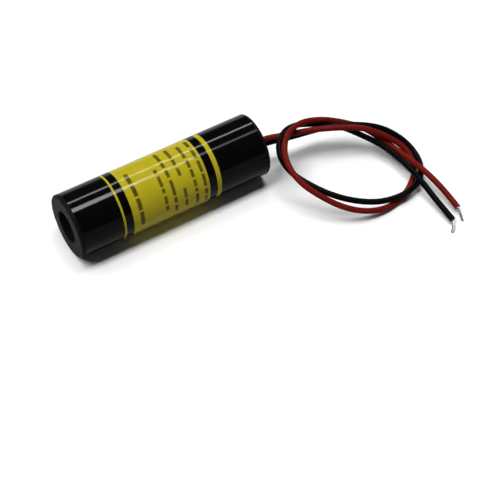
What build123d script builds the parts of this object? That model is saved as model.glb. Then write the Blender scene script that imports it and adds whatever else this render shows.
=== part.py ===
"""Laser diode module: a turned barrel with a lens, a laser diode, a driver board and two wire leads.

Frame: millimetres, +X along the beam, +Z up, origin under the middle of the barrel as it lies down.
"""
import math
import os

from build123d import *

os.makedirs("parts", exist_ok=True)

# Barrel and the film label wrapped round it
over_d = 14.0
label_t = 0.075
body_len = 45.0
label_start = 0.85
rear_land = 0.20
front_wall = 4.0
aperture_d = 7.0
optics_wall = 2.0
optics_bore_end = 19.0
rear_wall = 1.0
front_chamfer = 0.30
aperture_chamfer = 0.20
rear_round = 0.50

relief_d = over_d - 2 * label_t
optics_bore_d = over_d - 2 * optics_wall
rear_bore_d = over_d - 2 * rear_wall
label_len = body_len - label_start - rear_land - rear_round
axis_z = over_d / 2
nose_x = body_len / 2
tail_x = -body_len / 2

# Fits
slide_gap = 0.04
seat_gap = 0.03
board_gap = 0.05
wire_gap = 0.05
pad_gap = 0.025

# Lens, its cell, its ring and the spring behind
cell_len = 6.0
cell_lip = 1.0
cell_wall = 1.73
cell_lip_in = 0.5
lens_edge = 1.4
lens_sag = 0.75
ring_len = 1.6
ring_in = 0.7
spring_clear = 0.7
spring_wire = 0.6
spring_turns = 4.5
boss_start = 16.0

cell_d = optics_bore_d - 2 * slide_gap
spring_od = optics_bore_d - 2 * spring_clear
cell_seat_d = cell_d - 2 * cell_wall
lens_d = cell_seat_d - 2 * seat_gap
cell_clear_d = lens_d - 2 * cell_lip_in
ring_bore_d = lens_d - 2 * ring_in
lens_at = front_wall + cell_lip
spring_start = front_wall + cell_len
spring_len = boss_start - spring_start

# Laser diode can and the brass mount it sits in
flange_len = 3.0
cap_way_d = 4.7
header_at = 19.5
header_d = 5.6
header_t = 1.2
header_seat_d = header_d + 2 * seat_gap
clamp_ring_bore_d = 3.7
pin_r = 1.0
lead_d = 0.45
lead_inside = 0.6
lead_on_board = 3.0
seal_d = 1.0
cap_d = 3.55
cap_len = 2.3
cap_wall = 0.20
cap_front = 0.25
cap_hole_d = 1.6
cap_flange_d = 4.3
cap_flange_t = 0.25
window_t = 0.25
post_w = 1.1
post_len = 1.3
post_h = 0.70
submount_t = 0.15
submount_w = 0.70
submount_len = 0.90
chip_t = 0.10
chip_w = 0.25
chip_len = 0.60
monitor_side = 0.60
monitor_t = 0.20
monitor_rise = 0.55

boss_d = optics_bore_d - 2 * slide_gap
flange_d = rear_bore_d - 2 * slide_gap
flange_end = optics_bore_end + flange_len
header_end = header_at + header_t
clamp_ring_len = flange_end - header_end
pin_up = pin_r / 2
pin_side = pin_r * math.sqrt(3) / 2

# Two wire leads, stripped at both ends
wire_d = 1.3
core_d = 0.5
core_tail = 2.2
bare_len = 1.0
wire_in = 0.5
wire_straight = 2.0

# Driver board, held between the diode leads and the slots in the rear plug
board_side = 1.3
board_back = 1.5
board_tongue = 1.1
plug_len = 3.2
plug_recess = 0.3
plug_depth = 0.9
notch_w = 3.4

board_w = rear_bore_d - 2 * board_side
board_at = flange_end + board_back
lead_end = board_at + lead_on_board
plug_at = body_len - plug_recess - plug_len
board_t = pin_up + pin_r - lead_d - 2 * pad_gap
board_top = axis_z + pin_up - lead_d / 2 - pad_gap
board_bottom = board_top - board_t
board_end = plug_at + board_tongue
notch_at = plug_at - plug_depth
board_run = notch_at - board_at
red_z = board_top + pad_gap + core_d / 2
black_z = board_bottom - pad_gap - core_d / 2

# Parts on the board: length along X, width along Y, height
ic_size = (2.9, 1.6, 1.0)
transistor_size = (4.5, 2.5, 1.5)
tantalum_size = (3.2, 1.6, 1.6)
trimmer_size = (3.0, 3.1, 1.2)
rotor_d = 2.0
rotor_h = 0.4
diode_size = (2.7, 1.6, 1.1)
resistor_size = (1.6, 0.8, 0.45)
capacitor_size = (1.6, 0.8, 0.80)
leg_t = 0.15
leg_foot = 0.55
leg_bend = 0.30
leg_w = 0.40
leg_pitch = 0.95
leg_rise = 0.45
tab_w = 1.7
tab_out = 0.6
tab_leg_w = 0.5
tab_leg_len = 1.6
tab_pitch = 1.5
joint_h = 0.55
joint_w = 0.95
joint_round = 0.30
lead_joint_len = 1.8
wire_joint_len = 1.7
wire_joint_in = 1.1

# Places on the board, as shares of its length from the front edge and of its width from the middle
front_row = nose_x - board_at - 0.10 * board_run
power_row = nose_x - board_at - 0.45 * board_run
centre_row = nose_x - board_at - 0.62 * board_run
rear_row = nose_x - board_at - 0.87 * board_run
under_front_row = nose_x - board_at - 0.38 * board_run
under_mid_row = nose_x - board_at - 0.56 * board_run
under_rear_row = nose_x - board_at - 0.80 * board_run
outer_lane = 0.33 * board_w
side_lane = 0.30 * board_w
tab_lane = 0.28 * board_w
under_lane = 0.26 * board_w

# Lay of the wires: distance behind the rear face, then Y and Z
red_lay = [
    (7.5, 1.2, 6.8),
    (13.0, 2.5, 6.5),
    (18.0, 5.2, 6.8),
    (23.0, 7.8, 6.3),
    (27.5, 10.6, 4.5),
    (29.7, 15.0, 2.7),
    (28.8, 19.6, 1.05),
    (24.7, 23.4, 0.65),
    (19.5, 25.8, 0.7),
    (13.7, 26.0, 1.9),
    (8.5, 23.8, 3.7),
    (4.7, 19.7, 5.6),
    (1.7, 14.5, 7.8),
    (2.1, 8.8, 9.2),
    (5.5, 3.6, 9.4),
    (10.8, 0.8, 8.4),
    (16.0, 1.0, 7.0),
    (20.7, 2.8, 5.5),
    (24.5, 6.3, 3.9),
    (26.8, 11.5, 2.6),
    (28.1, 17.0, 2.9),
    (29.2, 22.6, 2.9),
    (29.7, 27.4, 2.4),
    (29.8, 31.1, 1.9),
    (29.8, 33.9, 1.5),
]
black_lay = [
    (7.5, 0.8, 5.3),
    (12.5, 1.2, 5.0),
    (17.5, 3.0, 6.5),
    (23.0, 5.5, 6.6),
    (28.0, 8.2, 4.7),
    (31.4, 12.8, 2.6),
    (31.4, 18.5, 1.0),
    (28.2, 23.1, 1.2),
    (22.9, 25.7, 2.35),
    (17.0, 25.1, 2.3),
    (12.0, 23.2, 3.4),
    (7.5, 20.0, 4.8),
    (4.3, 15.6, 5.9),
    (1.8, 10.9, 7.0),
    (2.1, 5.7, 8.3),
    (5.8, 1.7, 8.8),
    (10.3, -0.3, 7.4),
    (15.0, 0.1, 5.7),
    (19.5, 2.8, 4.3),
    (22.5, 7.0, 3.5),
    (25.1, 12.0, 2.9),
    (26.6, 17.6, 2.8),
    (26.8, 23.6, 3.1),
    (26.8, 29.2, 2.2),
    (26.9, 33.2, 1.65),
    (27.0, 36.0, 1.2),
]
red_tip = (tail_x - 29.2, 36.6, 0.28)
black_tip = (tail_x - 25.4, 38.1, 0.28)

# Routes from just inside the plug, straight out of it, then along the lay
wire_start = nose_x - plug_at + wire_in
wire_out = tail_x - wire_straight
red_route = [(wire_start, 0.0, red_z), (wire_out, 0.0, red_z)]
red_route += [(tail_x - behind, y, z) for behind, y, z in red_lay]
black_route = [(wire_start, 0.0, black_z), (wire_out, 0.0, black_z)]
black_route += [(tail_x - behind, y, z) for behind, y, z in black_lay]


def station(s):
    """Plane across the barrel, s behind the front face, with its normal to the rear and its y up."""
    return Plane(origin=(nose_x - s, 0, axis_z), x_dir=(0, -1, 0), z_dir=(-1, 0, 0))


def bend_radii(route):
    """Radius at each inner point of a route, from the shorter run beside it and the turn."""
    radii = []
    for before, here, after in zip(route, route[1:], route[2:]):
        run_in = Vector(*here) - Vector(*before)
        run_out = Vector(*after) - Vector(*here)
        half_turn = math.radians(run_in.get_angle(run_out)) / 2
        radii.append(0.45 * min(run_in.length, run_out.length) / math.tan(half_turn))
    return radii


def past_end(route, extra):
    """Point on the line of the last run, extra beyond its end."""
    run = Vector(*route[-1]) - Vector(*route[-2])
    return tuple(Vector(*route[-1]) + run.normalized() * extra)


# Barrel: turned aluminium, closed at the front but for the beam aperture, relieved for its label
with BuildPart() as housing_barrel:
    with BuildSketch(station(0)):
        Circle(over_d / 2)
    extrude(amount=body_len)
    with BuildSketch(station(label_start)):
        Circle(over_d / 2)
        Circle(relief_d / 2, mode=Mode.SUBTRACT)
    extrude(amount=label_len, mode=Mode.SUBTRACT)
    with BuildSketch(station(0)):
        Circle(aperture_d / 2)
    extrude(amount=front_wall, mode=Mode.SUBTRACT)
    with BuildSketch(station(front_wall)):
        Circle(optics_bore_d / 2)
    extrude(amount=optics_bore_end - front_wall, mode=Mode.SUBTRACT)
    with BuildSketch(station(optics_bore_end)):
        Circle(rear_bore_d / 2)
    extrude(amount=body_len - optics_bore_end, mode=Mode.SUBTRACT)
    front_rims = housing_barrel.edges().group_by(Axis.X)[-1].filter_by(GeomType.CIRCLE)
    chamfer(front_rims.sort_by(SortBy.RADIUS)[-1], front_chamfer)
    front_rims = housing_barrel.edges().group_by(Axis.X)[-1].filter_by(GeomType.CIRCLE)
    chamfer(front_rims.sort_by(SortBy.RADIUS)[0], aperture_chamfer)
    rear_rims = housing_barrel.edges().group_by(Axis.X)[0].filter_by(GeomType.CIRCLE)
    fillet(rear_rims.sort_by(SortBy.RADIUS)[-1], rear_round)

# Label: one film round the barrel, level with the bare rims
with BuildPart() as label_wrap:
    with BuildSketch(station(label_start)):
        Circle(over_d / 2)
        Circle(relief_d / 2, mode=Mode.SUBTRACT)
    extrude(amount=label_len)

# Lens cell, pushed against the front wall by the spring
with BuildPart() as lens_cell:
    with BuildSketch(station(front_wall)):
        Circle(cell_d / 2)
        Circle(cell_clear_d / 2, mode=Mode.SUBTRACT)
    extrude(amount=cell_len)
    with BuildSketch(station(lens_at)):
        Circle(cell_seat_d / 2)
    extrude(amount=cell_len - cell_lip, mode=Mode.SUBTRACT)

# Lens: flat behind, bulging forward through the lip of its cell
lens_bulge_r = cell_clear_d / 2 - 0.15
lens_curve = (lens_bulge_r**2 + lens_sag**2) / (2 * lens_sag)
lens_half = math.asin(lens_bulge_r / lens_curve) / 2
with BuildPart() as collimating_lens:
    with BuildSketch(Plane(origin=(nose_x - lens_at, 0, axis_z), x_dir=(1, 0, 0), z_dir=(0, -1, 0))):
        with BuildLine():
            Polyline(
                (lens_sag, 0),
                (-lens_edge, 0),
                (-lens_edge, lens_d / 2),
                (0, lens_d / 2),
                (0, lens_bulge_r),
            )
            ThreePointArc(
                (0, lens_bulge_r),
                (lens_sag - lens_curve * (1 - math.cos(lens_half)), lens_curve * math.sin(lens_half)),
                (lens_sag, 0),
            )
        make_face()
    revolve(axis=Axis((0, 0, axis_z), (1, 0, 0)))

# Ring that keeps the lens in its cell
with BuildPart() as lens_ring:
    with BuildSketch(station(lens_at + lens_edge)):
        Circle(cell_seat_d / 2 - seat_gap)
        Circle(ring_bore_d / 2, mode=Mode.SUBTRACT)
    extrude(amount=ring_len)

# Spring between the lens cell and the diode mount
spring_rise = spring_len - spring_wire - 0.02
with BuildPart() as focus_spring:
    with BuildLine() as spring_path:
        Helix(
            pitch=spring_rise / spring_turns,
            height=spring_rise,
            radius=(spring_od - spring_wire) / 2,
            center=(nose_x - spring_start - spring_wire / 2 - 0.01, 0, axis_z),
            direction=(-1, 0, 0),
        )
    with BuildSketch(Plane(origin=spring_path.line @ 0, z_dir=spring_path.line % 0)):
        Circle(spring_wire / 2)
    sweep(is_frenet=True)

# Diode mount: a flanged boss that seats on the step in the barrel
with BuildPart() as diode_mount:
    with BuildSketch(station(boss_start)):
        Circle(boss_d / 2)
    extrude(amount=optics_bore_end - boss_start)
    with BuildSketch(station(optics_bore_end)):
        Circle(flange_d / 2)
    extrude(amount=flange_len)
    with BuildSketch(station(boss_start)):
        Circle(cap_way_d / 2)
    extrude(amount=header_at - boss_start, mode=Mode.SUBTRACT)
    with BuildSketch(station(header_at)):
        Circle(header_seat_d / 2)
    extrude(amount=flange_end - header_at, mode=Mode.SUBTRACT)

# Ring that holds the diode in its seat
with BuildPart() as diode_clamp_ring:
    with BuildSketch(station(header_end)):
        Circle(header_seat_d / 2 - seat_gap)
        Circle(clamp_ring_bore_d / 2, mode=Mode.SUBTRACT)
    extrude(amount=clamp_ring_len)

# Diode header with two holes for its sealed leads
with BuildPart() as diode_header:
    with BuildSketch(station(header_at)):
        Circle(header_d / 2)
        with Locations((-pin_side, pin_up), (pin_side, pin_up)):
            Circle(seal_d / 2, mode=Mode.SUBTRACT)
    extrude(amount=header_t)

# Glass beads in the header
with BuildPart() as lead_seals:
    with BuildSketch(station(header_at)):
        with Locations((-pin_side, pin_up), (pin_side, pin_up)):
            Circle(seal_d / 2)
            Circle(lead_d / 2, mode=Mode.SUBTRACT)
    extrude(amount=header_t)

# Diode leads: two through the beads, one on the back of the header
with BuildPart() as diode_leads:
    with BuildSketch(station(header_at - lead_inside)):
        with Locations((-pin_side, pin_up), (pin_side, pin_up)):
            Circle(lead_d / 2)
    extrude(amount=lead_end - header_at + lead_inside)
    with BuildSketch(station(header_end)):
        with Locations((0, -pin_r)):
            Circle(lead_d / 2)
    extrude(amount=lead_end - header_end)

# Diode cap with its flange and its hole
with BuildPart() as diode_cap:
    with BuildSketch(station(header_at - cap_len)):
        Circle(cap_d / 2)
    extrude(amount=cap_len)
    with BuildSketch(station(header_at - cap_flange_t)):
        Circle(cap_flange_d / 2)
    extrude(amount=cap_flange_t)
    with BuildSketch(station(header_at - cap_len + cap_front)):
        Circle(cap_d / 2 - cap_wall)
    extrude(amount=cap_len - cap_front, mode=Mode.SUBTRACT)
    with BuildSketch(station(header_at - cap_len)):
        Circle(cap_hole_d / 2)
    extrude(amount=cap_front, mode=Mode.SUBTRACT)

# Window glued behind the hole in the cap
with BuildPart() as diode_window:
    with BuildSketch(station(header_at - cap_len + cap_front)):
        Circle(cap_d / 2 - cap_wall - 0.1)
    extrude(amount=window_t)

# Post on the header, then the chip carrier and the chip whose face is on the axis
with BuildPart() as chip_post:
    with BuildSketch(station(header_at - post_len)):
        with Locations((0, -chip_t - submount_t - post_h / 2)):
            Rectangle(post_w, post_h)
    extrude(amount=post_len)

with BuildPart() as chip_submount:
    with BuildSketch(station(header_at - post_len)):
        with Locations((0, -chip_t - submount_t / 2)):
            Rectangle(submount_w, submount_t)
    extrude(amount=submount_len)

with BuildPart() as laser_chip:
    with BuildSketch(station(header_at - post_len)):
        with Locations((0, -chip_t / 2)):
            Rectangle(chip_w, chip_t)
    extrude(amount=chip_len)

# Photodiode that watches the back of the chip
with BuildPart() as monitor_photodiode:
    with BuildSketch(station(header_at - monitor_t)):
        with Locations((0, monitor_rise)):
            Rectangle(monitor_side, monitor_side)
    extrude(amount=monitor_t)

# Driver board with a notch for the wires and two tongues into the plug
with BuildPart() as driver_board:
    with BuildSketch(Plane.XY.offset(board_bottom)):
        with Locations((nose_x - (board_at + board_end) / 2, 0)):
            Rectangle(board_end - board_at, board_w)
        with Locations((nose_x - (notch_at + board_end) / 2, 0)):
            Rectangle(board_end - notch_at, notch_w, mode=Mode.SUBTRACT)
    extrude(amount=board_t)

# Driver chip and its six legs
ic_x = power_row
ic_y = -side_lane
with BuildPart() as driver_ic:
    with Locations((ic_x, ic_y, board_top + 0.1)):
        Box(*ic_size, align=(Align.CENTER, Align.CENTER, Align.MIN))
    chamfer(driver_ic.edges().group_by(Axis.Z)[-1], 0.12)

ic_edge = ic_size[1] / 2
with BuildPart() as ic_legs:
    for side in (-1, 1):
        with BuildSketch(Plane.YZ.offset(ic_x - leg_pitch - leg_w / 2)):
            with BuildLine():
                Polyline(
                    (ic_y + side * ic_edge, board_top + leg_rise),
                    (ic_y + side * (ic_edge + leg_bend), board_top + leg_rise),
                    (ic_y + side * (ic_edge + leg_bend), board_top + leg_t),
                    (ic_y + side * (ic_edge + leg_foot), board_top + leg_t),
                    (ic_y + side * (ic_edge + leg_foot), board_top),
                    (ic_y + side * (ic_edge + leg_bend - leg_t), board_top),
                    (ic_y + side * (ic_edge + leg_bend - leg_t), board_top + leg_rise - leg_t),
                    (ic_y + side * ic_edge, board_top + leg_rise - leg_t),
                    close=True,
                )
            make_face()
        leg = extrude(amount=leg_w, mode=Mode.PRIVATE)
        for k in range(3):
            add(leg.moved(Location((leg_pitch * k, 0, 0))))

# Pass transistor on its tab, flat on the board
transistor_x = power_row
transistor_y = tab_lane
with BuildPart() as pass_transistor:
    with Locations((transistor_x, transistor_y, board_top + leg_t)):
        Box(*transistor_size, align=(Align.CENTER, Align.CENTER, Align.MIN))
    chamfer(pass_transistor.edges().group_by(Axis.Z)[-1], 0.15)

with BuildPart() as transistor_tab:
    with BuildSketch(Plane.XY.offset(board_top)):
        with Locations((transistor_x, transistor_y + tab_out - leg_t)):
            Rectangle(tab_w, transistor_size[1] + tab_out)
        with Locations((transistor_x, transistor_y - transistor_size[1] / 2 + tab_leg_len / 4)):
            with GridLocations(tab_pitch, 1, 3, 1):
                Rectangle(tab_leg_w, tab_leg_len)
    extrude(amount=leg_t)

# Tantalum capacitor, polarity diode and trimmer
with BuildPart() as tantalum_capacitor:
    with Locations((rear_row, side_lane, board_top)):
        Box(*tantalum_size, align=(Align.CENTER, Align.CENTER, Align.MIN))
    chamfer(tantalum_capacitor.edges().group_by(Axis.Z)[-1], 0.12)

with BuildPart() as polarity_diode:
    with Locations((under_rear_row, under_lane, board_bottom)):
        Box(*diode_size, align=(Align.CENTER, Align.CENTER, Align.MAX))
    chamfer(polarity_diode.edges().group_by(Axis.Z)[0], 0.12)

trimmer_x = rear_row
trimmer_y = -side_lane
with BuildPart() as trimmer_body:
    with Locations((trimmer_x, trimmer_y, board_top)):
        Box(*trimmer_size, align=(Align.CENTER, Align.CENTER, Align.MIN))
    chamfer(trimmer_body.edges().group_by(Axis.Z)[-1], 0.1)

with BuildPart() as trimmer_rotor:
    with BuildSketch(Plane.XY.offset(board_top + trimmer_size[2])):
        with Locations((trimmer_x, trimmer_y)):
            Circle(rotor_d / 2)
    extrude(amount=rotor_h)
    with BuildSketch(Plane.XY.offset(board_top + trimmer_size[2] + rotor_h)):
        with Locations((trimmer_x, trimmer_y)):
            Rectangle(1.1 * rotor_d, 0.17 * rotor_d, rotation=25)
    extrude(amount=-0.6 * rotor_h, mode=Mode.SUBTRACT)

# Small chip parts on both faces of the board
with BuildPart() as chip_resistors:
    with BuildSketch(Plane.XY.offset(board_top)):
        with Locations((front_row, outer_lane), (front_row, -outer_lane)):
            Rectangle(resistor_size[0], resistor_size[1])
    extrude(amount=resistor_size[2])
    with BuildSketch(Plane.XY.offset(board_bottom)):
        with Locations((under_front_row, under_lane), (under_front_row, -under_lane)):
            Rectangle(resistor_size[0], resistor_size[1])
        with Locations((under_mid_row, -under_lane)):
            Rectangle(resistor_size[0], resistor_size[1])
    extrude(amount=-resistor_size[2])

with BuildPart() as chip_capacitors:
    with BuildSketch(Plane.XY.offset(board_top)):
        with Locations((centre_row, 0)):
            Rectangle(capacitor_size[0], capacitor_size[1])
    extrude(amount=capacitor_size[2])
    with BuildSketch(Plane.XY.offset(board_bottom)):
        with Locations((under_mid_row, under_lane), (under_rear_row, -under_lane)):
            Rectangle(capacitor_size[0], capacitor_size[1])
    extrude(amount=-capacitor_size[2])

# Solder over the diode leads and over the inner wire ends
lead_joint_x = nose_x - (board_at + lead_end) / 2
with BuildPart() as lead_joints:
    with Locations((lead_joint_x, -pin_side, board_top), (lead_joint_x, pin_side, board_top)):
        Box(lead_joint_len, joint_w, joint_h, align=(Align.CENTER, Align.CENTER, Align.MIN))
    with Locations((lead_joint_x, 0, board_bottom)):
        Box(lead_joint_len, joint_w, joint_h, align=(Align.CENTER, Align.CENTER, Align.MAX))
    fillet(lead_joints.edges().filter_by(Axis.Z), joint_round)
    with BuildSketch(station(header_end)):
        with Locations((-pin_side, pin_up), (pin_side, pin_up), (0, -pin_r)):
            Circle(lead_d / 2)
    extrude(amount=lead_end - header_end + lead_d, mode=Mode.SUBTRACT)

wire_joint_x = nose_x - notch_at + wire_joint_in
with BuildPart() as wire_joints:
    with Locations((wire_joint_x, 0, board_top)):
        Box(wire_joint_len, joint_w, joint_h, align=(Align.CENTER, Align.CENTER, Align.MIN))
    with Locations((wire_joint_x, 0, board_bottom)):
        Box(wire_joint_len, joint_w, joint_h, align=(Align.CENTER, Align.CENTER, Align.MAX))
    fillet(wire_joints.edges().filter_by(Axis.Z), joint_round)
    with BuildSketch(station(notch_at - wire_joint_in - wire_joint_len)):
        with Locations((0, red_z - axis_z), (0, black_z - axis_z)):
            Circle(core_d / 2)
    extrude(amount=2 * wire_joint_len, mode=Mode.SUBTRACT)

# Rear plug with one slot for both wires and two slots for the board
plug_d = rear_bore_d - 2 * slide_gap
wire_slot_w = wire_d + 2 * wire_gap
wire_slot_len = red_z - black_z + wire_slot_w
with BuildPart() as rear_plug:
    with BuildSketch(station(plug_at)):
        Circle(plug_d / 2)
        with Locations((0, (red_z + black_z) / 2 - axis_z)):
            SlotOverall(wire_slot_len, wire_slot_w, rotation=90, mode=Mode.SUBTRACT)
    extrude(amount=plug_len)
    with BuildSketch(station(plug_at)):
        for side in (-1, 1):
            with Locations((side * (board_w + notch_w) / 4, (board_top + board_bottom) / 2 - axis_z)):
                Rectangle((board_w - notch_w) / 2 + 2 * board_gap, board_t + 2 * board_gap)
    extrude(amount=board_tongue + board_gap, mode=Mode.SUBTRACT)

# Wires: insulation over a bare core that shows at each end
red_radii = bend_radii(red_route)
black_radii = bend_radii(black_route)

with BuildPart() as red_wire:
    with BuildLine() as red_path:
        FilletPolyline(*red_route, radius=red_radii)
    with BuildSketch(Plane(origin=red_path.line @ 0, z_dir=red_path.line % 0)):
        Circle(wire_d / 2)
        Circle(core_d / 2, mode=Mode.SUBTRACT)
    sweep()

with BuildPart() as black_wire:
    with BuildLine() as black_path:
        FilletPolyline(*black_route, radius=black_radii)
    with BuildSketch(Plane(origin=black_path.line @ 0, z_dir=black_path.line % 0)):
        Circle(wire_d / 2)
        Circle(core_d / 2, mode=Mode.SUBTRACT)
    sweep()

red_bend = past_end(red_route, bare_len)
red_core_route = [(red_route[0][0] + core_tail, 0.0, red_z), *red_route[1:-1], red_bend, red_tip]
red_core_radii = [*red_radii, bend_radii([red_route[-1], red_bend, red_tip])[0]]
with BuildPart() as red_wire_core:
    with BuildLine() as red_core_path:
        FilletPolyline(*red_core_route, radius=red_core_radii)
    with BuildSketch(Plane(origin=red_core_path.line @ 0, z_dir=red_core_path.line % 0)):
        Circle(core_d / 2)
    sweep()

black_bend = past_end(black_route, bare_len)
black_core_route = [(black_route[0][0] + core_tail, 0.0, black_z), *black_route[1:-1], black_bend, black_tip]
black_core_radii = [*black_radii, bend_radii([black_route[-1], black_bend, black_tip])[0]]
with BuildPart() as black_wire_core:
    with BuildLine() as black_core_path:
        FilletPolyline(*black_core_route, radius=black_core_radii)
    with BuildSketch(Plane(origin=black_core_path.line @ 0, z_dir=black_core_path.line % 0)):
        Circle(core_d / 2)
    sweep()

print("red wire length", round(red_path.wire().length, 1), "radii", [round(r, 1) for r in red_radii])
print("black wire length", round(black_path.wire().length, 1), "radii", [round(r, 1) for r in black_radii])

housing_barrel.part.label = "housing_barrel"
export_step(housing_barrel.part, "parts/housing_barrel.step")
label_wrap.part.label = "label_wrap"
export_step(label_wrap.part, "parts/label_wrap.step")
lens_cell.part.label = "lens_cell"
export_step(lens_cell.part, "parts/lens_cell.step")
collimating_lens.part.label = "collimating_lens"
export_step(collimating_lens.part, "parts/collimating_lens.step")
lens_ring.part.label = "lens_ring"
export_step(lens_ring.part, "parts/lens_ring.step")
focus_spring.part.label = "focus_spring"
export_step(focus_spring.part, "parts/focus_spring.step")
diode_mount.part.label = "diode_mount"
export_step(diode_mount.part, "parts/diode_mount.step")
diode_clamp_ring.part.label = "diode_clamp_ring"
export_step(diode_clamp_ring.part, "parts/diode_clamp_ring.step")
diode_header.part.label = "diode_header"
export_step(diode_header.part, "parts/diode_header.step")
lead_seals.part.label = "lead_seals"
export_step(lead_seals.part, "parts/lead_seals.step")
diode_leads.part.label = "diode_leads"
export_step(diode_leads.part, "parts/diode_leads.step")
diode_cap.part.label = "diode_cap"
export_step(diode_cap.part, "parts/diode_cap.step")
diode_window.part.label = "diode_window"
export_step(diode_window.part, "parts/diode_window.step")
chip_post.part.label = "chip_post"
export_step(chip_post.part, "parts/chip_post.step")
chip_submount.part.label = "chip_submount"
export_step(chip_submount.part, "parts/chip_submount.step")
laser_chip.part.label = "laser_chip"
export_step(laser_chip.part, "parts/laser_chip.step")
monitor_photodiode.part.label = "monitor_photodiode"
export_step(monitor_photodiode.part, "parts/monitor_photodiode.step")
driver_board.part.label = "driver_board"
export_step(driver_board.part, "parts/driver_board.step")
driver_ic.part.label = "driver_ic"
export_step(driver_ic.part, "parts/driver_ic.step")
ic_legs.part.label = "ic_legs"
export_step(ic_legs.part, "parts/ic_legs.step")
pass_transistor.part.label = "pass_transistor"
export_step(pass_transistor.part, "parts/pass_transistor.step")
transistor_tab.part.label = "transistor_tab"
export_step(transistor_tab.part, "parts/transistor_tab.step")
tantalum_capacitor.part.label = "tantalum_capacitor"
export_step(tantalum_capacitor.part, "parts/tantalum_capacitor.step")
polarity_diode.part.label = "polarity_diode"
export_step(polarity_diode.part, "parts/polarity_diode.step")
trimmer_body.part.label = "trimmer_body"
export_step(trimmer_body.part, "parts/trimmer_body.step")
trimmer_rotor.part.label = "trimmer_rotor"
export_step(trimmer_rotor.part, "parts/trimmer_rotor.step")
chip_resistors.part.label = "chip_resistors"
export_step(chip_resistors.part, "parts/chip_resistors.step")
chip_capacitors.part.label = "chip_capacitors"
export_step(chip_capacitors.part, "parts/chip_capacitors.step")
lead_joints.part.label = "lead_joints"
export_step(lead_joints.part, "parts/lead_joints.step")
wire_joints.part.label = "wire_joints"
export_step(wire_joints.part, "parts/wire_joints.step")
rear_plug.part.label = "rear_plug"
export_step(rear_plug.part, "parts/rear_plug.step")
red_wire.part.label = "red_wire"
export_step(red_wire.part, "parts/red_wire.step")
black_wire.part.label = "black_wire"
export_step(black_wire.part, "parts/black_wire.step")
red_wire_core.part.label = "red_wire_core"
export_step(red_wire_core.part, "parts/red_wire_core.step")
black_wire_core.part.label = "black_wire_core"
export_step(black_wire_core.part, "parts/black_wire_core.step")
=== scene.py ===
import math
from math import radians

import bpy
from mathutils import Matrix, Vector


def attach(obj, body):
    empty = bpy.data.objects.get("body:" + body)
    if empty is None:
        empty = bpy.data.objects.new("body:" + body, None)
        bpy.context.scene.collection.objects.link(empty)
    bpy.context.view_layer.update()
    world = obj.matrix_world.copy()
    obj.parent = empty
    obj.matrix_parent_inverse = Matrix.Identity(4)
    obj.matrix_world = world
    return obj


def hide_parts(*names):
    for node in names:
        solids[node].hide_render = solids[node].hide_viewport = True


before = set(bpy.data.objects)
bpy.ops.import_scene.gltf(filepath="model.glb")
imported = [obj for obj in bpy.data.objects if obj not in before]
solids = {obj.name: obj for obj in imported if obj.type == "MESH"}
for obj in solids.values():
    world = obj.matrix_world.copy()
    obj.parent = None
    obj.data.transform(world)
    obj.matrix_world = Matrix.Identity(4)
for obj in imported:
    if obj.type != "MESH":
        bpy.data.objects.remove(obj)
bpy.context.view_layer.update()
scene = bpy.context.scene
bpy.ops.object.select_all(action="DESELECT")


# Camera
# Stands in front of the module and to its left, well above it, with a short telephoto lens.
degrees_down = 50.246
degrees_round = 148.376
bpy.ops.object.camera_add(
    location=(0.08987, 0.18089, 0.22737),
    rotation=(radians(90 - degrees_down), 0, radians(degrees_round)),
)
camera = bpy.context.object
camera.name = "camera"
camera.data.lens = 102.4
camera.data.sensor_width = 36.0
camera.data.clip_start = 0.01
camera.data.clip_end = 20.0
scene.camera = camera


# Red supply lead
# Flexible stranded hook-up wire with a soft red PVC jacket. It is soldered to the driver board, leaves
# through the slot in the rear plug, makes one loose turn with the black lead and ends stripped.
jacket_d = 0.0013
red_route = [
    (-0.0185, 0, 0.007525), (-0.0245, 0, 0.007525), (-0.0297, 0.0016, 0.0073),
    (-0.0348, 0.0034, 0.0077), (-0.0397, 0.0061, 0.0081), (-0.0449, 0.0086, 0.0076),
    (-0.0494, 0.0114, 0.0050), (-0.0522, 0.0151, 0.0030), (-0.0518, 0.0196, 0.00105),
    (-0.0475, 0.0235, 0.00065), (-0.0420, 0.0258, 0.0007), (-0.0362, 0.0260, 0.0019),
    (-0.0310, 0.0238, 0.0037), (-0.0272, 0.0197, 0.0056), (-0.0242, 0.0145, 0.0078),
    (-0.0246, 0.0088, 0.0092), (-0.0279, 0.0038, 0.0096), (-0.0327, 0.0016, 0.0094),
    (-0.0377, 0.0020, 0.0083), (-0.0427, 0.0037, 0.0064), (-0.0468, 0.0070, 0.0050),
    (-0.0494, 0.0118, 0.0032), (-0.0507, 0.0170, 0.0029), (-0.0517, 0.0226, 0.0029),
    (-0.0522, 0.0274, 0.0024), (-0.0523, 0.0311, 0.0019), (-0.0523, 0.0339, 0.0015),
]


def lay_route(name, points, width):
    """A smooth line through the lay of one wire, round in section and closed at both ends."""
    curve = bpy.data.curves.new(name, "CURVE")
    curve.dimensions = "3D"
    line = curve.splines.new("NURBS")
    line.points.add(len(points) - 1)
    for spot, place in zip(line.points, points):
        spot.co = (*place, 1)
    line.order_u = 3
    line.use_endpoint_u = True
    line.resolution_u = 12
    curve.bevel_depth = width / 2
    curve.bevel_resolution = 5
    curve.use_fill_caps = width > 0
    piece = bpy.data.objects.new(name, curve)
    scene.collection.objects.link(piece)
    return piece


def new_finish(name):
    """An empty finish: its material, its shader and the place on the piece, in metres."""
    finish = bpy.data.materials.new(name)
    finish.use_nodes = True
    shader = finish.node_tree.nodes["Principled BSDF"]
    place = finish.node_tree.nodes.new("ShaderNodeTexCoord").outputs["Object"]
    return finish, shader, place


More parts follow.
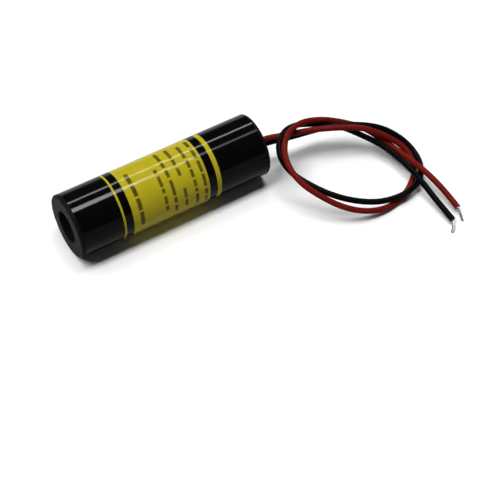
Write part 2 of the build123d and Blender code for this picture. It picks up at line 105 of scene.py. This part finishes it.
def mottle(finish, place, scale, detail=3.0, rough=0.6, stretch=(1, 1, 1)):
    """Uneven tone, from 0 to 1, with `scale` blotches to the metre, drawn out along an axis if asked."""
    nodes, links = finish.node_tree.nodes, finish.node_tree.links
    if stretch != (1, 1, 1):
        drawn = nodes.new("ShaderNodeMapping")
        drawn.inputs["Scale"].default_value = stretch
        links.new(place, drawn.inputs["Vector"])
        place = drawn.outputs["Vector"]
    noise = nodes.new("ShaderNodeTexNoise")
    noise.inputs["Scale"].default_value = scale
    noise.inputs["Detail"].default_value = detail
    noise.inputs["Roughness"].default_value = rough
    links.new(place, noise.inputs["Vector"])
    return noise.outputs["Fac"]


def spread(finish, tone, low, high, out_low=0.0, out_high=1.0):
    """Stretches a tone between two levels to a new pair of levels, and holds it there."""
    node = finish.node_tree.nodes.new("ShaderNodeMapRange")
    node.inputs["From Min"].default_value = low
    node.inputs["From Max"].default_value = high
    node.inputs["To Min"].default_value = out_low
    node.inputs["To Max"].default_value = out_high
    finish.node_tree.links.new(tone, node.inputs["Value"])
    return node.outputs["Result"]


def tint(finish, tone, low, high):
    """A colour between two others by a tone. Either end may be a colour or another node's colour."""
    node = finish.node_tree.nodes.new("ShaderNodeMix")
    node.data_type = "RGBA"
    finish.node_tree.links.new(tone, node.inputs["Factor"])
    for socket, colour in ((node.inputs[6], low), (node.inputs[7], high)):
        if isinstance(colour, tuple):
            socket.default_value = (*colour, 1)
        else:
            finish.node_tree.links.new(colour, socket)
    return node.outputs[2]


def relief(finish, shader, tone, depth, strength=1.0):
    """Raises the surface by a tone, `depth` metres from 0 to 1."""
    node = finish.node_tree.nodes.new("ShaderNodeBump")
    node.inputs["Strength"].default_value = strength
    node.inputs["Distance"].default_value = depth
    finish.node_tree.links.new(tone, node.inputs["Height"])
    finish.node_tree.links.new(node.outputs["Normal"], shader.inputs["Normal"])


def jacket_finish(name, deep, bright, gloss):
    """Extruded PVC: faint flow marks, a slightly uneven colour and a soft shine."""
    finish, shader, place = new_finish(name)
    links = finish.node_tree.links
    cloud = mottle(finish, place, scale=420, detail=4)
    links.new(tint(finish, spread(finish, cloud, 0.3, 0.7), deep, bright), shader.inputs["Base Color"])
    scuff = mottle(finish, place, scale=2600, detail=2)
    links.new(spread(finish, scuff, 0.3, 0.7, gloss - 0.06, gloss + 0.10), shader.inputs["Roughness"])
    relief(finish, shader, mottle(finish, place, scale=5200, detail=2), depth=0.000012, strength=0.5)
    shader.inputs["Specular IOR Level"].default_value = 0.025
    return finish


red_lead = lay_route("red_lead", red_route, jacket_d)
red_lead.data.materials.append(
    jacket_finish("red_jacket", (0.124, 0.0062, 0.0044), (0.170, 0.0104, 0.0070), gloss=0.40)
)
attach(red_lead, "root")
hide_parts("red_wire")


# Black supply lead
# The same wire in black PVC, the ground lead. It leaves the plug just under the red one, runs round the
# same loose turn inside and under it, and ends stripped a little further out.
black_route = [
    (-0.0185, 0, 0.005975), (-0.0245, 0, 0.005975), (-0.0297, 0.0012, 0.0058),
    (-0.0343, 0.0022, 0.0060), (-0.0392, 0.0040, 0.0070), (-0.0447, 0.0065, 0.0069),
    (-0.0499, 0.0091, 0.0054), (-0.0536, 0.0131, 0.0027), (-0.0539, 0.0185, 0.0010),
    (-0.0507, 0.0231, 0.0012), (-0.0454, 0.0257, 0.00235), (-0.0395, 0.0251, 0.0023),
    (-0.0345, 0.0232, 0.0034), (-0.0300, 0.0200, 0.0048), (-0.0268, 0.0156, 0.0059),
    (-0.0245, 0.0109, 0.0070), (-0.0248, 0.0057, 0.0083), (-0.0283, 0.0020, 0.0090),
    (-0.0323, 0.0007, 0.0083), (-0.0370, 0.0013, 0.0066), (-0.0421, 0.0034, 0.0052),
    (-0.0454, 0.0074, 0.0041), (-0.0480, 0.0120, 0.0034), (-0.0494, 0.0175, 0.0028),
    (-0.0493, 0.0236, 0.0031), (-0.0493, 0.0292, 0.0022), (-0.0494, 0.0332, 0.00165),
    (-0.0495, 0.0360, 0.0012),
]
black_lead = lay_route("black_lead", black_route, jacket_d)
black_lead.data.materials.append(
    jacket_finish("black_jacket", (0.0013, 0.0014, 0.0015), (0.0032, 0.0034, 0.0035), gloss=0.42)
)
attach(black_lead, "root")
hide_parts("black_wire")


# Conductors
# Seven tinned copper strands, six laid round one, inside each jacket. They show where the ends are
# stripped, are bent down by hand there, and spread a little at the cut.
strand_r = 0.000083
strand_lay = 0.0045
strand_pitch = 2.02 * strand_r
frayed_end = 0.0016
fray = 0.16
red_soldered = (-0.0163, 0, 0.007525)
red_bare = [(-0.0523, 0.03489, 0.00136), (-0.0517, 0.0366, 0.00031)]
black_soldered = (-0.0163, 0, 0.005975)
black_bare = [(-0.049535, 0.03699, 0.00104), (-0.0479, 0.0381, 0.00031)]


def tinned_finish():
    """Dull tin over copper, drawn along the strand, with darker flux between strands."""
    finish, shader, place = new_finish("tinned_strand")
    links = finish.node_tree.links
    flux = spread(finish, mottle(finish, place, scale=2400, detail=4), 0.35, 0.65)
    links.new(tint(finish, flux, (0.30, 0.285, 0.26), (0.56, 0.55, 0.53)), shader.inputs["Base Color"])
    drawn = mottle(finish, place, scale=6000, detail=2)
    links.new(spread(finish, drawn, 0.3, 0.7, 0.26, 0.44), shader.inputs["Roughness"])
    relief(finish, shader, mottle(finish, place, scale=9000, detail=2), depth=0.000006, strength=0.6)
    shader.inputs["Metallic"].default_value = 1.0
    return finish


def route_line(name, points):
    """The points of one wire's smooth line, close together, read from the line itself."""
    line = lay_route(name, points, 0)
    line.data.splines[0].resolution_u = 16
    bpy.context.view_layer.update()
    drawn = bpy.data.meshes.new_from_object(line.evaluated_get(bpy.context.evaluated_depsgraph_get()))
    places = [v.co.copy() for v in drawn.vertices]
    bpy.data.meshes.remove(drawn)
    bpy.data.objects.remove(line)
    return places


def lay_strands(name, points):
    """Six strands twisted round a seventh along a wire's line, as one mesh."""
    line = route_line(name + "_line", points)
    run = [0.0]
    for a, b in zip(line, line[1:]):
        run.append(run[-1] + (b - a).length)
    side = Vector((0, 1, 0))
    frames = []
    for k, spot in enumerate(line):
        ahead = (line[min(k + 1, len(line) - 1)] - line[max(k - 1, 0)]).normalized()
        side = (side - ahead * side.dot(ahead)).normalized()
        frames.append((spot, side.copy(), ahead.cross(side)))
    bundle = bpy.data.curves.new(name, "CURVE")
    bundle.dimensions = "3D"
    for s in range(7):
        strand = bundle.splines.new("POLY")
        strand.points.add(len(line) - 1)
        for k, (spot, u, v) in enumerate(frames):
            out = 0.0
            turn = radians(60 * s) + 2 * math.pi * run[k] / strand_lay
            if s < 6:
                loose = max(0.0, 1 - (run[-1] - run[k]) / frayed_end)
                out = strand_pitch * (1 + fray * loose * (1 + s % 3))
            place = spot + u * (out * math.cos(turn)) + v * (out * math.sin(turn))
            strand.points[k].co = (*place, 1)
    bundle.bevel_depth = strand_r
    bundle.bevel_resolution = 1
    bundle.use_fill_caps = True
    piece = bpy.data.objects.new(name, bundle)
    scene.collection.objects.link(piece)
    bpy.ops.object.select_all(action="DESELECT")
    piece.select_set(True)
    bpy.context.view_layer.objects.active = piece
    bpy.ops.object.convert(target="MESH")
    bpy.ops.object.shade_smooth()
    return bpy.context.object


tinned = tinned_finish()
red_core = lay_strands("red_strands", [red_soldered] + red_route[1:-1] + red_bare)
black_core = lay_strands("black_strands", [black_soldered] + black_route[1:-1] + black_bare)
for core, node in ((red_core, "red_wire_core"), (black_core, "black_wire_core")):
    core.data.materials.clear()
    core.data.materials.append(tinned)
    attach(core, "root")
    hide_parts(node)


# Barrel
# Turned aluminium tube with a closed front, bored from the rear and anodised satin black. The facing cut
# leaves fine rings on the front, and the corners are a little paler where handling has polished them.
axis_z = 0.007
front_x = 0.0225
barrel_r = 0.007
facing_pitch = 0.00022


def number(finish, kind, a, b=None):
    """One sum on two numbers, each a plain value or a node's output."""
    node = finish.node_tree.nodes.new("ShaderNodeMath")
    node.operation = kind
    for socket, value in zip(node.inputs, (a, b)):
        if isinstance(value, (int, float)):
            socket.default_value = value
        elif value is not None:
            finish.node_tree.links.new(value, socket)
    return node.outputs[0]


def turned_place(finish, place):
    """Where a point is on a turned piece: along the axis, across, up from the axis, and out from it."""
    parts = finish.node_tree.nodes.new("ShaderNodeSeparateXYZ")
    finish.node_tree.links.new(place, parts.inputs[0])
    along, across = parts.outputs[0], parts.outputs[1]
    up = number(finish, "SUBTRACT", parts.outputs[2], axis_z)
    out = number(
        finish, "SQRT",
        number(finish, "ADD", number(finish, "MULTIPLY", across, across), number(finish, "MULTIPLY", up, up)),
    )
    return along, across, up, out


def dress(nodes, finish):
    """Puts one finish on the solids of these names."""
    for node in nodes:
        solids[node].data.materials.clear()
        solids[node].data.materials.append(finish)


def anodised_finish():
    """Satin black anodise: fine blasted grain, polished corners, and the rings of the facing cut."""
    finish, shader, place = new_finish("satin_black_anodise")
    links = finish.node_tree.links
    along, _, _, out = turned_place(finish, place)
    grain = mottle(finish, place, scale=9000, detail=3)
    cloud = mottle(finish, place, scale=300, detail=4)
    black = tint(finish, spread(finish, cloud, 0.3, 0.7), (0.0045, 0.0046, 0.0043), (0.0078, 0.0079, 0.0074))
    to_front = number(finish, "SUBTRACT", along, front_x)
    to_side = number(finish, "SUBTRACT", out, barrel_r)
    corner = spread(finish, number(finish, "ADD", to_front, to_side), -0.00034, -0.00020)
    rubbed = spread(finish, mottle(finish, place, scale=1500, detail=4), 0.42, 0.62, 0.15, 1.0)
    worn = number(finish, "MULTIPLY", number(finish, "MULTIPLY", corner, rubbed), 0.6)
    links.new(tint(finish, worn, black, (0.050, 0.050, 0.048)), shader.inputs["Base Color"])
    links.new(spread(finish, grain, 0.3, 0.7, 0.42, 0.54), shader.inputs["Roughness"])
    rings = number(finish, "SINE", number(finish, "MULTIPLY", out, 2 * math.pi / facing_pitch))
    on_face = spread(finish, along, front_x - 0.00006, front_x - 0.00002)
    turned = number(finish, "MULTIPLY", number(finish, "MULTIPLY", rings, on_face), 0.35)
    relief(finish, shader, number(finish, "ADD", turned, grain), depth=0.000006, strength=0.6)
    shader.inputs["Specular IOR Level"].default_value = 0.015
    return finish


dress(["housing_barrel"], anodised_finish())


# Label
# Self-adhesive film, printed black with a yellow field and two yellow lines, wrapped once round the barrel
# and lapped over its own end. It is glossy and lies in a shallow step between the two bare rims.
label_front = 0.02165
label_rear = -0.02180
label_r = barrel_r
film = 0.000072
film_slack = 0.000004
lap_at = radians(164)
lap = radians(16)
lap_rise = radians(3)
label_steps = 376

bpy.ops.object.select_all(action="DESELECT")
bpy.ops.mesh.primitive_plane_add(size=1)
label = bpy.context.object
label.name = "label_film"
bpy.ops.object.mode_set(mode="EDIT")
bpy.ops.mesh.select_mode(type="VERT")
bpy.ops.mesh.select_all(action="DESELECT")
bpy.ops.object.mode_set(mode="OBJECT")
for v in label.data.vertices:
    v.select = v.co.y > 0
bpy.ops.object.mode_set(mode="EDIT")
bpy.ops.mesh.delete(type="VERT")
bpy.ops.object.mode_set(mode="OBJECT")
for v in label.data.vertices:
    end = label_front if v.co.x > 0 else label_rear
    v.co = (end, label_r * math.cos(lap_at), axis_z + label_r * math.sin(lap_at))
bpy.ops.object.mode_set(mode="EDIT")
bpy.ops.mesh.select_all(action="SELECT")
bpy.ops.mesh.spin(steps=label_steps, angle=2 * math.pi + lap, center=(0, 0, axis_z), axis=(1, 0, 0))
bpy.ops.object.mode_set(mode="OBJECT")
for v in label.data.vertices:
    wound = (v.index // 2) / label_steps * (2 * math.pi + lap)
    rise = min(max((wound - 2 * math.pi + lap_rise) / lap_rise, 0), 1)
    share = 1 + film / label_r * rise * rise * (3 - 2 * rise)
    v.co.y *= share
    v.co.z = axis_z + (v.co.z - axis_z) * share
outward = sum(Vector((0, f.center.y, f.center.z - axis_z)).dot(f.normal) for f in label.data.polygons)
if outward < 0:
    bpy.ops.object.mode_set(mode="EDIT")
    bpy.ops.mesh.select_all(action="SELECT")
    bpy.ops.mesh.flip_normals()
    bpy.ops.object.mode_set(mode="OBJECT")
wall = label.modifiers.new("film", "SOLIDIFY")
wall.thickness = film - film_slack
wall.offset = -1
bpy.ops.object.modifier_apply(modifier=wall.name)
bpy.ops.object.shade_smooth_by_angle(angle=radians(30))


def band(finish, tone, low, high, soft):
    """1 between two levels and 0 outside them, with soft edges."""
    return number(
        finish, "MULTIPLY",
        spread(finish, tone, low - soft, low + soft),
        spread(finish, tone, high - soft, high + soft, 1.0, 0.0),
    )


def label_finish():
    """Gloss film in black and yellow, laid on a little askew, with rows of plain bars across the field."""
    finish, shader, place = new_finish("printed_gloss_film")
    links = finish.node_tree.links
    along, across, up, _ = turned_place(finish, place)
    turn = number(finish, "ARCTAN2", up, across)
    askew = number(finish, "SINE", number(finish, "SUBTRACT", turn, radians(40)))
    skew = number(finish, "MULTIPLY", askew, 0.00022)
    behind = number(finish, "SUBTRACT", number(finish, "SUBTRACT", front_x, along), skew)
    bleed = 0.00002
    field = band(finish, behind, 0.01218, 0.03020, bleed)
    thin_line = band(finish, behind, 0.00998, 0.01043, bleed)
    wide_line = band(finish, behind, 0.03200, 0.03302, bleed)
    yellow_part = number(finish, "MAXIMUM", field, number(finish, "MAXIMUM", thin_line, wide_line))
    # Each row: how far it lies behind the front, half its height, and its bars in degrees round the barrel.
    rows = (
        (0.01420, 0.00046, ((-6, 22), (25, 46), (50, 71), (74, 96))),
        (0.02000, 0.00036, ((2, 12), (15, 30), (36, 44), (47, 66), (72, 80))),
        (0.02210, 0.00036, ((-10, 5), (10, 21), (24, 52), (57, 71), (76, 88), (91, 116))),
        (0.02450, 0.00036, ((-8, 8), (11, 30), (52, 66), (72, 84), (87, 114))),
        (0.02710, 0.00036, ((-14, 10), (14, 21), (24, 36), (41, 55), (58, 72), (77, 108))),
        (0.02925, 0.00036, ((-18, -4), (0, 12), (17, 40), (43, 64), (69, 90), (95, 114))),
    )
    soft_end = 0.008
    soft_side = 0.00006
    bars = 0.0
    for mid, half, stretches in rows:
        reach = 0.0
        for low, high in stretches:
            stretch = band(finish, turn, radians(low), radians(high), soft_end)
            reach = number(finish, "ADD", reach, stretch)
        row = band(finish, behind, mid - half, mid + half, soft_side)
        bars = number(finish, "ADD", bars, number(finish, "MULTIPLY", row, reach))
    density = spread(finish, mottle(finish, place, scale=900, detail=3), 0.30, 0.70, 0.72, 0.88)
    ink = number(finish, "MULTIPLY", bars, density)
    cloud = spread(finish, mottle(finish, place, scale=260, detail=4), 0.3, 0.7)
    yellow = tint(finish, cloud, (0.424, 0.355, 0.0130), (0.464, 0.392, 0.0175))
    printed = tint(finish, ink, yellow, (0.016, 0.014, 0.006))
    black = tint(finish, cloud, (0.0016, 0.0016, 0.0019), (0.0030, 0.0030, 0.0033))
    links.new(tint(finish, yellow_part, black, printed), shader.inputs["Base Color"])
    smear = mottle(finish, place, scale=700, detail=4)
    links.new(spread(finish, smear, 0.35, 0.75, 0.06, 0.12), shader.inputs["Roughness"])
    relief(finish, shader, mottle(finish, place, scale=190, detail=2), depth=0.000002, strength=0.05)
    shader.inputs["Specular IOR Level"].default_value = 0.045
    return finish


label.data.materials.clear()
label.data.materials.append(label_finish())
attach(label, "root")
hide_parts("label_wrap")


# Rear plug
# Moulded black plastic disc pressed into the rear of the barrel. It carries the board in two slots and lets
# both leads out through one, and has the fine matt skin of a spark-finished mould.
def moulded_finish(name, deep, bright, gloss, grain, grain_depth, shine=0.4):
    """Moulded plastic or ceramic: matt skin, slightly uneven colour."""
    finish, shader, place = new_finish(name)
    links = finish.node_tree.links
    cloud = spread(finish, mottle(finish, place, scale=grain / 9, detail=4), 0.3, 0.7)
    links.new(tint(finish, cloud, deep, bright), shader.inputs["Base Color"])
    skin = mottle(finish, place, scale=grain, detail=3)
    links.new(spread(finish, skin, 0.3, 0.7, gloss - 0.08, gloss + 0.08), shader.inputs["Roughness"])
    relief(finish, shader, skin, depth=grain_depth, strength=0.6)
    shader.inputs["Specular IOR Level"].default_value = shine
    return finish


matt_plug = moulded_finish(
    "matt_black_plug", (0.010, 0.010, 0.010), (0.016, 0.016, 0.015),
    gloss=0.58, grain=6500, grain_depth=0.00001,
)
dress(["rear_plug"], matt_plug)


# Collimator
# A brass cell holds a small glass lens against a lip, with a threaded ring behind it and a steel spring that
# takes up the slack against the diode mount. The cell is blackened so that no stray light leaves the front.
def metal_finish(name, dark, bright, gloss, grain, stretch=(1, 1, 1), turned=0.0):
    """Bare metal: tarnish in two tones, tool marks drawn out one way, or rings left by turning."""
    finish, shader, place = new_finish(name)
    links = finish.node_tree.links
    tarnish = spread(finish, mottle(finish, place, scale=grain / 7, detail=5), 0.32, 0.68)
    links.new(tint(finish, tarnish, dark, bright), shader.inputs["Base Color"])
    marks = mottle(finish, place, scale=grain, detail=3, stretch=stretch)
    if turned:
        along, _, _, out = turned_place(finish, place)
        feed = number(finish, "MULTIPLY", number(finish, "ADD", along, out), 2 * math.pi / turned)
        passes = number(finish, "SINE", feed)
        marks = number(finish, "ADD", marks, number(finish, "MULTIPLY", passes, 0.15))
    links.new(spread(finish, marks, 0.25, 0.75, gloss - 0.08, gloss + 0.10), shader.inputs["Roughness"])
    relief(finish, shader, marks, depth=0.000004, strength=0.6)
    shader.inputs["Metallic"].default_value = 1.0
    return finish


brass = metal_finish(
    "turned_brass", (0.46, 0.29, 0.085), (0.66, 0.45, 0.16), gloss=0.30, grain=4200, turned=0.00018
)
blackened = moulded_finish(
    "blackened_cell", (0.009, 0.009, 0.009), (0.018, 0.017, 0.015),
    gloss=0.50, grain=5200, grain_depth=0.000006,
)
spring_steel = metal_finish(
    "drawn_spring_steel", (0.36, 0.36, 0.37), (0.56, 0.56, 0.57), gloss=0.28, grain=6000
)
dress(["lens_cell"], blackened)
dress(["lens_ring"], brass)
dress(["focus_spring"], spring_steel)


def lens_finish():
    """Ground glass with a blue-green coating, tinted dark as painted shade for the dim cell behind it, with a
    little dust.
    """
    finish, shader, place = new_finish("shade_darkened_lens_glass")
    links = finish.node_tree.links
    dust = spread(finish, mottle(finish, place, scale=4500, detail=5), 0.62, 0.82)
    # The dark glass colour is painted shade for the dim inside seen through the lens; only the blue-green
    # cast is the coating's own.
    links.new(tint(finish, dust, (0.15, 0.19, 0.21), (0.13, 0.165, 0.18)), shader.inputs["Base Color"])
    links.new(spread(finish, dust, 0.0, 1.0, 0.008, 0.045), shader.inputs["Roughness"])
    shader.inputs["Transmission Weight"].default_value = 1.0
    shader.inputs["IOR"].default_value = 1.52
    return finish


dress(["collimating_lens", "diode_window"], lens_finish())


# Diode and its mount
# The laser diode is a 5.6 mm can: a gilt header with glass-sealed leads, a chip on a post, and a nickel cap
# with a window. A turned brass mount seats it on the step in the barrel, and a ring clamps it from behind.
dress(["diode_mount", "diode_clamp_ring"], brass)
gilt = metal_finish("gilt_header", (0.62, 0.43, 0.15), (0.83, 0.63, 0.28), gloss=0.24, grain=5200)
nickel = metal_finish(
    "nickel_cap", (0.40, 0.39, 0.36), (0.45, 0.44, 0.41), gloss=0.26, grain=14000, turned=0.00012
)
seal_glass = moulded_finish(
    "seal_glass", (0.020, 0.030, 0.028), (0.045, 0.060, 0.055),
    gloss=0.18, grain=7000, grain_depth=0.000003,
)
nitride = moulded_finish(
    "nitride_submount", (0.42, 0.41, 0.38), (0.52, 0.51, 0.48),
    gloss=0.50, grain=16000, grain_depth=0.000002,
)
diced = metal_finish(
    "diced_chip", (0.10, 0.10, 0.12), (0.24, 0.24, 0.28), gloss=0.20, grain=22000, stretch=(6, 1, 1)
)
dress(["diode_header", "chip_post", "diode_leads"], gilt)
dress(["diode_cap"], nickel)
dress(["lead_seals"], seal_glass)
dress(["chip_submount"], nitride)
dress(["laser_chip", "monitor_photodiode"], diced)


# Driver board and its parts
# A glass-epoxy board under green mask carries the current driver: a chip, a power transistor with a tinned
# tab, a yellow tantalum block, a blue trimmer set at the works, and small chips. All are soldered flat.
board_mid_z = 0.00675
weave_pitch = 0.00045


def board_finish():
    """Green mask over woven glass: the weave shows as a fine grid, the cut edges as bare pale epoxy."""
    finish, shader, place = new_finish("masked_board")
    nodes, links = finish.node_tree.nodes, finish.node_tree.links
    parts = nodes.new("ShaderNodeSeparateXYZ")
    links.new(place, parts.inputs[0])
    warp = number(finish, "SINE", number(finish, "MULTIPLY", parts.outputs[0], 2 * math.pi / weave_pitch))
    weft = number(finish, "SINE", number(finish, "MULTIPLY", parts.outputs[1], 2 * math.pi / weave_pitch))
    weave = number(finish, "MULTIPLY", warp, weft)
    cloud = mottle(finish, place, scale=500, detail=4)
    tone = number(finish, "ADD", number(finish, "MULTIPLY", weave, 0.12), cloud)
    mask = tint(finish, spread(finish, tone, 0.25, 0.75), (0.008, 0.075, 0.030), (0.016, 0.120, 0.050))
    height = number(finish, "ABSOLUTE", number(finish, "SUBTRACT", parts.outputs[2], board_mid_z))
    edge = spread(finish, height, 0.00045, 0.00049, 1.0, 0.0)
    links.new(tint(finish, edge, mask, (0.34, 0.33, 0.17)), shader.inputs["Base Color"])
    links.new(spread(finish, cloud, 0.3, 0.7, 0.26, 0.40), shader.inputs["Roughness"])
    relief(finish, shader, weave, depth=0.000003, strength=0.5)
    return finish


dress(["driver_board"], board_finish())
epoxy = moulded_finish(
    "epoxy_package", (0.010, 0.010, 0.011), (0.020, 0.020, 0.021),
    gloss=0.52, grain=9000, grain_depth=0.000006,
)
glaze = moulded_finish(
    "glazed_resistor", (0.014, 0.014, 0.016), (0.032, 0.032, 0.034),
    gloss=0.30, grain=9000, grain_depth=0.000003,
)
tinned_legs = metal_finish(
    "tinned_legs", (0.48, 0.48, 0.47), (0.66, 0.66, 0.65), gloss=0.36, grain=7000, stretch=(4, 1, 1)
)
tantalum = moulded_finish(
    "tantalum_block", (0.52, 0.27, 0.030), (0.66, 0.37, 0.055),
    gloss=0.46, grain=7000, grain_depth=0.000006,
)
trimmer_blue = moulded_finish(
    "trimmer_blue", (0.012, 0.060, 0.26), (0.022, 0.090, 0.36),
    gloss=0.42, grain=7000, grain_depth=0.000005,
)
rotor_nickel = metal_finish(
    "rotor_nickel", (0.50, 0.48, 0.43), (0.70, 0.68, 0.63), gloss=0.30, grain=6000, stretch=(1, 5, 1)
)
ceramic = moulded_finish(
    "barrier_ceramic", (0.30, 0.20, 0.115), (0.40, 0.28, 0.17),
    gloss=0.44, grain=9000, grain_depth=0.000004,
)
solder = metal_finish("solder", (0.42, 0.42, 0.43), (0.66, 0.66, 0.67), gloss=0.22, grain=3600)
dress(["driver_ic", "pass_transistor", "polarity_diode"], epoxy)
dress(["chip_resistors"], glaze)
dress(["ic_legs", "transistor_tab"], tinned_legs)
dress(["tantalum_capacitor"], tantalum)
dress(["trimmer_body"], trimmer_blue)
dress(["trimmer_rotor"], rotor_nickel)
dress(["chip_capacitors"], ceramic)
dress(["lead_joints", "wire_joints"], solder)


# Floor
# White studio table. It shows plain white and keeps the soft shadow of the module and its leads.
bpy.ops.object.select_all(action="DESELECT")
bpy.ops.mesh.primitive_plane_add(size=12.0, location=(0, 0, 0))
floor = bpy.context.object
floor.name = "table"
table_finish = bpy.data.materials.new("white_table")
table_finish.use_nodes = True
table_tree = table_finish.node_tree
paint = table_tree.nodes["Principled BSDF"]


def seen_rays(tree):
    """1 for what the camera sees, straight on, in gloss or through glass, and 0 for what only gets light."""
    path = tree.nodes.new("ShaderNodeLightPath")
    seen = path.outputs["Is Camera Ray"]
    for other in ("Is Glossy Ray", "Is Transmission Ray"):
        either = tree.nodes.new("ShaderNodeMath")
        either.operation = "MAXIMUM"
        tree.links.new(seen, either.inputs[0])
        tree.links.new(path.outputs[other], either.inputs[1])
        seen = either.outputs[0]
    return seen


seen = seen_rays(table_tree)
white = table_tree.nodes.new("ShaderNodeMix")
white.data_type = "RGBA"
white.inputs[6].default_value = (0.50, 0.50, 0.50, 1)
white.inputs[7].default_value = (1.0, 1.0, 1.0, 1)
table_tree.links.new(seen, white.inputs["Factor"])
table_tree.links.new(white.outputs[2], paint.inputs["Base Color"])
spot = table_tree.nodes.new("ShaderNodeTexCoord")
away = table_tree.nodes.new("ShaderNodeVectorMath")
away.operation = "LENGTH"
far = table_tree.nodes.new("ShaderNodeMapRange")
far.interpolation_type = "SMOOTHSTEP"
far.inputs["From Min"].default_value = 0.3
far.inputs["From Max"].default_value = 1.2
glow = table_tree.nodes.new("ShaderNodeMath")
glow.operation = "MULTIPLY"
table_tree.links.new(spot.outputs["Object"], away.inputs[0])
table_tree.links.new(away.outputs["Value"], far.inputs["Value"])
table_tree.links.new(far.outputs["Result"], glow.inputs[0])
table_tree.links.new(seen, glow.inputs[1])
table_tree.links.new(glow.outputs[0], paint.inputs["Emission Strength"])
paint.inputs["Emission Color"].default_value = (1, 1, 1, 1)
paint.inputs["Roughness"].default_value = 0.9
paint.inputs["Specular IOR Level"].default_value = 0.0
floor.data.materials.append(table_finish)


# Light
# Two long soft lamps hang over the table, a bright one overhead and a wider, dimmer one behind. They light
# the module, and slim strips near it, seen only in gloss, draw the two bright lines along the film. The room
# is dim above, with a pale band at the horizon that shows as white.
def tube_lamp(name, across, distance, reach, wide, glow):
    """A flat lamp along the barrel. `across` is its turn back from overhead, `reach` its two ends."""
    back = Vector((0, -math.sin(across), math.cos(across)))
    place = back * distance + Vector(((reach[0] + reach[1]) / 2, 0, axis_z))
    bpy.ops.object.light_add(type="AREA", location=place)
    lamp = bpy.context.object
    lamp.name = name
    lamp.data.shape = "RECTANGLE"
    lamp.data.size = reach[1] - reach[0]
    lamp.data.size_y = wide
    lamp.data.energy = glow * math.pi * lamp.data.size * wide
    lamp.rotation_euler = (across, 0, 0)
    return lamp


for lamp in (
    tube_lamp("tube_overhead", radians(0.6), 4.0, (-1.4, 3.4), 1.10, 10.1),
    tube_lamp("tube_behind", radians(25), 4.0, (-1.4, 3.4), 1.80, 2.5),
):
    lamp.visible_glossy = False
for lamp in (
    tube_lamp("line_behind", radians(35.0), 0.8, (-0.44, -0.10), 0.080, 45.0),
    tube_lamp("line_front", radians(2.8), 0.8, (-0.2097, -0.10), 0.190, 67.0),
    tube_lamp("line_mid", radians(2.6), 0.8, (-0.2329, -0.2097), 0.145, 58.0),
    tube_lamp("line_back", radians(2.2), 0.8, (-0.2872, -0.2329), 0.110, 40.0),
    tube_lamp("line_end", radians(1.6), 0.8, (-0.44, -0.2872), 0.090, 20.0),
):
    lamp.visible_diffuse = False

room = bpy.data.worlds.new("room")
scene.world = room
room.use_nodes = True
sky = room.node_tree.nodes["Background"]
look = room.node_tree.nodes.new("ShaderNodeTexCoord")
rise = room.node_tree.nodes.new("ShaderNodeSeparateXYZ")
level = room.node_tree.nodes.new("ShaderNodeMapRange")
level.interpolation_type = "SMOOTHSTEP"
level.inputs["From Min"].default_value = 0.06
level.inputs["From Max"].default_value = 0.16
level.inputs["To Max"].default_value = 0.035
room.node_tree.links.new(look.outputs["Generated"], rise.inputs[0])
room.node_tree.links.new(rise.outputs[2], level.inputs["Value"])
horizon = room.node_tree.nodes.new("ShaderNodeMapRange")
horizon.inputs["To Min"].default_value = 0.3
horizon.inputs["To Max"].default_value = 1.0
room.node_tree.links.new(seen_rays(room.node_tree), horizon.inputs["Value"])
room.node_tree.links.new(horizon.outputs["Result"], level.inputs["To Min"])
room.node_tree.links.new(level.outputs["Result"], sky.inputs["Strength"])
sky.inputs["Color"].default_value = (1, 1, 1, 1)
scene.view_settings.view_transform = "Standard"
